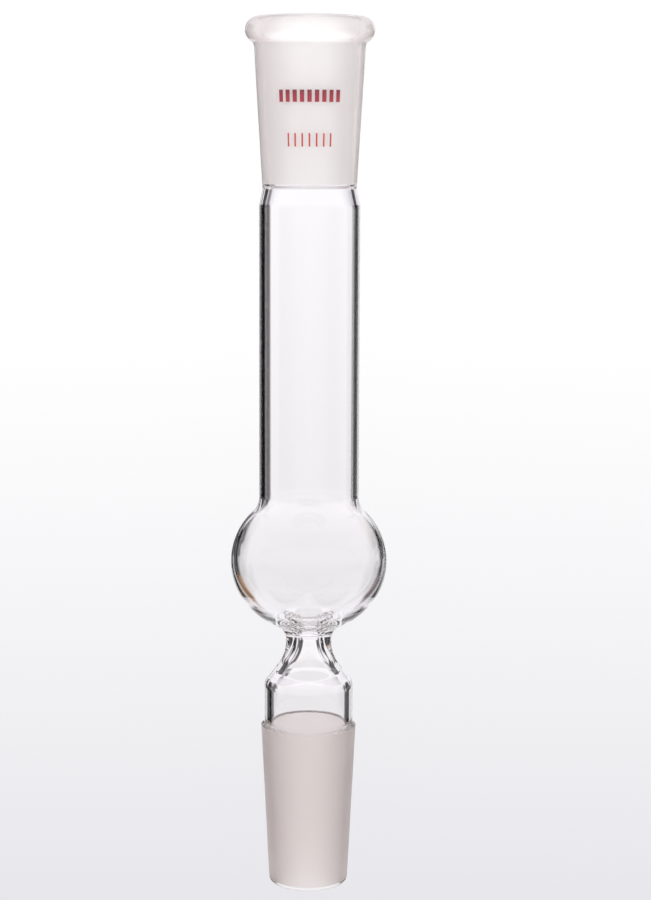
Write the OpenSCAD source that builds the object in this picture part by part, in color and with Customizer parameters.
// Drying tube: a straight glass tube with one bulb, a conical ground socket at one end and a
// matching conical ground cone at the other. It is blown and drawn in one piece, so it is one
// solid: a single closed wall section turned once about the tube's axis.
//
// The section is drawn in [radius, height] pairs, with height measured along the axis from the
// free end of the cone. The finished tube lies on its side, on its bulb and on its socket's bead.

/* [Ground joints] */
// Diameter of the cone and of the socket's bore, each at its wide end
joint_d = 24; // [20:0.1:29]
// Length of the ground zone on the cone and in the socket
joint_len = 40; // [33:0.5:48]
// Length over which a ground zone widens by one (a standard joint has 10)
joint_taper = 10; // [8:0.5:12]

/* [Cone] */
// Plain end beyond the cone's ground zone
cone_lip = 1.4; // [1.4:0.1:2]
// Round on the outer edge of that end
lip_round = 1.4; // [0.6:0.1:1.4]
// Wall of the cone at its free end
cone_wall = 2; // [1.5:0.1:2.6]
// Step, all round, from the cone's wide end down to the stem
stem_step = 0.8; // [0.4:0.1:1.6]
// Round on the cone's wide edge
edge_round = 0.4; // [0.2:0.1:0.8]
// Round where that step meets the stem
step_round = 0.8; // [0.4:0.1:1.6]
// Round on the inside where the cone's bore meets the stem's
cone_in_round = 6; // [2:1:8]

/* [Stem] */
// Length of the stem, from the cone to the corner where it draws in
stem_len = 11.1; // [8:0.1:20]
// Wall of the stem
stem_wall = 1.8; // [1.2:0.1:2.2]
// Round on the outside where the stem draws in
stem_round = 3; // [1:0.5:5]
// Round on the inside where the stem draws in
stem_in_round = 2; // [1:0.5:4]
// How far that inside corner lies below the outside one
stem_in_drop = 0.6; // [0.2:0.1:1.2]

/* [Throat] */
// Outside diameter of the throat between the stem and the bulb
throat_d = 11.6; // [9:0.1:14]
// Bore of the throat
throat_bore = 5.3; // [3:0.1:7]
// Angle between the axis and the outside of the wall that draws in to the throat
flare_angle = 38; // [30:1:50]
// Radius of the hollow outside the throat, on the stem's side
throat_hollow = 9; // [4:0.5:12]
// Inside diameter at the foot of the throat, where the wall has gathered and is thickest
foot_bore = 13.6; // [12:0.1:15]
// Angle between the axis and the inside of the wall below that foot
foot_angle = 50; // [40:1:60]
// Angle between the axis and the inside of the wall above that foot
bore_flare = 30; // [26:1:36]
// Round on the inside at that foot
foot_round = 3; // [1:0.5:5]
// Round on the inside where the flare ends in the bore
bore_round = 12; // [4:1:16]
// Distance from the corner of the throat to the middle of the bulb
throat_to_bulb = 24.3; // [23:0.1:30]
// Radius of the outside where the throat opens into the bulb
throat_round = 5; // [3:0.1:6]
// Radius of the inside where the throat opens into the bulb
mouth_of_throat = 3; // [1:0.1:4]

/* [Bulb] */
// Outside diameter of the bulb across its middle
bulb_d = 39.2; // [33:0.1:47]
// Height of the bulb as a share of its diameter: a blown bulb is a little flattened
bulb_flat = 0.92; // [0.88:0.01:1]
// The same share for the inside of its lower half: a blown bulb is thicker at its foot
bulb_in_flat = 0.88; // [0.86:0.01:0.94]
// How far the middle of the bulb's inside lies above the middle of its outside
bulb_in_lift = 0.5; // [0:0.1:0.7]
// Wall of the bulb at its middle
bulb_wall = 1.4; // [1.2:0.1:2]
// Radius where the bulb runs into the tube
bulb_round = 6; // [1:0.1:7]

/* [Tube] */
// Outside diameter of the straight tube
tube_d = 25; // [21:0.1:30]
// Wall of the straight tube
tube_wall = 1.4; // [1.2:0.1:2.2]
// Length from the middle of the bulb to the top of the straight tube
tube_len = 88.8; // [60:0.1:120]
// Round on the outside where the tube ends
tube_round = 6; // [2:0.5:8]
// Round on the inside where the tube ends
tube_in_round = 4; // [2:0.5:6]

/* [Socket] */
// Wall of the socket at the narrow end of its ground zone
socket_wall = 1.7; // [1.4:0.1:2.4]
// Wall of the socket just under its bead
rim_wall = 2; // [1.8:0.1:3]
// Length of the shoulder where the tube is fused to the socket
shoulder_len = 5; // [3:0.1:8]
// How far the waist of that shoulder is drawn in below the socket's own wall
waist_depth = 0.1; // [0:0.05:0.4]
// Distance from the waist to the socket's ground zone
waist_gap = 0.5; // [0.2:0.1:1]
// Round at the waist
waist_round = 2; // [1:0.5:3]
// Round, inside and outside, where the ground zone begins
zone_round = 1; // [0.5:0.5:2]
// Radius of the bead round the rim
bead_r = 3.3; // [2.4:0.1:4]
// How far the bead stands out from the socket's wall
bead_out = 1.9; // [1:0.1:2.4]
// Radius of the hollow under the bead
bead_hollow = 1.6; // [0.4:0.1:2.4]
// Radius of the small round between the bore and the rim's face
mouth_round = 0.8; // [0.4:0.1:1.2]

/* [Hidden] */
$fn = 120;

// Angle between the points of every round stretch of the section
arc_step = 6;

// Radii that follow from the sizes above
cone_r = joint_d / 2;
end_r = cone_r - joint_len / joint_taper / 2;
stem_r = cone_r - stem_step;
stem_in = stem_r - stem_wall;
throat_r = throat_d / 2;
bore_r = throat_bore / 2;
foot_r = foot_bore / 2;
bulb_r = bulb_d / 2;
tube_r = tube_d / 2;
tube_in = tube_r - tube_wall;
socket_r = end_r + socket_wall;
rim_r = cone_r + rim_wall;

// Heights that follow from the sizes above
cone_top = cone_lip + joint_len;
stem_top = cone_top + stem_len;
stem_in_top = stem_top - stem_in_drop;
throat_z = stem_top + (stem_r - throat_r) / tan(flare_angle);
foot_z = stem_in_top + (stem_in - foot_r) / tan(foot_angle);
bore_z = foot_z + (foot_r - bore_r) / tan(bore_flare);
bulb_z = throat_z + throat_to_bulb;
tube_top = bulb_z + tube_len;
socket_z = tube_top + shoulder_len;
waist_z = socket_z - waist_gap;
mouth_z = socket_z + joint_len;
rim_z = mouth_z + mouth_round;

// Middle of the bead's round section, and the socket's outside where the bead leaves it
bead_z = rim_z - bead_r;
bead_c = rim_r + bead_out - bead_r;
under_r = rim_r - (rim_r - socket_r) * (mouth_z - bead_z + bead_r) / joint_len;

// The direction from one point to another, as an angle
function bearing(from, to) = atan2(to[1] - from[1], to[0] - from[0]);

// An arc of the section, from one angle to another
function arc(c, r, from, to) =
    let (steps = max(2, ceil(abs(to - from) / arc_step)))
    [for (i = [0:steps]) let (a = from + (to - from) * i / steps) c + r * [cos(a), sin(a)]];

// The bulb's wall on one side, going up: a ball of radius r with a hollow round where it leaves
// the throat and another where it meets the tube, each half pressed flat by its own share
function bulb_run(r, throat, low_round, tube, high_round, low_flat, lift) =
    let (
        low = [throat + low_round, -sqrt((r + low_round) ^ 2 - (throat + low_round) ^ 2)],
        high = [tube + high_round, sqrt((r + high_round) ^ 2 - (tube + high_round) ^ 2)],
        low_angle = atan2(low[1], low[0]),
        high_angle = atan2(high[1], high[0]),
        ball = concat(
            arc(low, low_round, 180, 180 + low_angle),
            arc([0, 0], r, low_angle, high_angle),
            arc(high, high_round, 180 + high_angle, 180)
        )
    )
    [for (p = ball) [p[0], bulb_z + lift + p[1] * (p[1] < 0 ? low_flat : bulb_flat)]];

// The bead, going up, from the hollow that joins it to the socket's wall to the rim's face
function bead_run() =
    let (
        c = [bead_c, bead_z],
        hollow_r = under_r + bead_hollow,
        hollow = [hollow_r, bead_z - sqrt((bead_r + bead_hollow) ^ 2 - (hollow_r - bead_c) ^ 2)],
        start = bearing(c, hollow)
    )
    concat(arc(hollow, bead_hollow, 180, 180 + start), arc(c, bead_r, start, 90));

// The section is a closed run of [radius, height, round] corners. These are points with no round.
function sharp(points) = [for (p = points) [p[0], p[1], 0]];
function reversed(points) = [for (i = [len(points) - 1:-1:0]) points[i]];

// Each corner's round is an arc that touches both of its sides. Two rounds on one side share it,
// so a short side makes both of them smaller.
function corner_arc(before, corner, after) =
    let (
        p = [corner[0], corner[1]],
        to_before = [before[0], before[1]] - p,
        to_after = [after[0], after[1]] - p,
        back = to_before / norm(to_before),
        ahead = to_after / norm(to_after),
        half = acos(back * ahead) / 2,
        room_before = norm(to_before) * corner[2] / (corner[2] + before[2]),
        room_after = norm(to_after) * corner[2] / (corner[2] + after[2]),
        reach = min(corner[2] / tan(half), room_before, room_after),
        c = p + (back + ahead) / norm(back + ahead) * reach / cos(half),
        from = bearing(c, p + back * reach),
        turn = bearing(c, p + ahead * reach) - from,
        short_turn = turn > 180 ? turn - 360 : turn < -180 ? turn + 360 : turn
    )
    arc(c, reach * tan(half), from, from + short_turn);

function rounded(run) =
    let (n = len(run))
    [for (i = [0:n - 1])
        if (run[i][2] == 0) [run[i][0], run[i][1]]
        else each corner_arc(run[(i + n - 1) % n], run[i], run[(i + 1) % n])];

// Up the outside, from the cone's free end to the rim
outside = concat(
    [
        [end_r - lip_round, 0, 0],
        [end_r, 0, lip_round],
        [end_r, cone_lip, 0],
        [cone_r, cone_top, edge_round],
        [stem_r, cone_top + stem_step, step_round],
        [stem_r, stem_top, stem_round],
        [throat_r, throat_z, throat_hollow]
    ],
    sharp(bulb_run(bulb_r, throat_r, throat_round, tube_r, bulb_round, bulb_flat, 0)),
    [
        [tube_r, tube_top, tube_round],
        [socket_r - waist_depth, waist_z, waist_round],
        [socket_r, socket_z, zone_round]
    ],
    sharp(bead_run())
);

// Down the inside, from the rim to the cone's free end
ball_in_r = bulb_r - bulb_wall;
ball_in_round = bulb_round + bulb_wall;
bulb_inside =
    bulb_run(ball_in_r, bore_r, mouth_of_throat, tube_in, ball_in_round, bulb_in_flat, bulb_in_lift);
inside = concat(
    [
        [cone_r, rim_z, mouth_round],
        [cone_r, mouth_z, 0],
        [end_r, socket_z, zone_round],
        [tube_in, tube_top, tube_in_round]
    ],
    sharp(reversed(bulb_inside)),
    [
        [bore_r, bore_z, bore_round],
        [foot_r, foot_z, foot_round],
        [stem_in, stem_in_top, stem_in_round],
        [stem_in, cone_top, cone_in_round],
        [end_r - cone_wall, cone_lip, 0],
        [end_r - cone_wall, 0, cone_wall - lip_round]
    ]
);

section = rounded(concat(outside, inside));

// The tube rests on its bulb and its bead, so its axis runs down towards the socket by this angle
bead_away = bead_z - bulb_z;
rest_tilt = atan2(bead_away, bead_c) - acos((bulb_r - bead_r) / norm([bead_away, bead_c]));

// How far the lying tube reaches past the middle of its bulb: side is 1 at the socket's end and
// -1 at the cone's end. Half of the difference puts the origin midway between the two ends.
function reach(side) =
    max([for (p = section) side * (p[1] - bulb_z) * cos(rest_tilt) + p[0] * sin(rest_tilt)]);
off_centre = (reach(1) - reach(-1)) / 2;

module drying_tube() {
    color([0.86, 0.92, 0.94])
        translate([0, -off_centre, bulb_r])
            rotate([-90 - rest_tilt, 0, 0])
                translate([0, 0, -bulb_z])
                    rotate_extrude() polygon(section);
}

drying_tube();
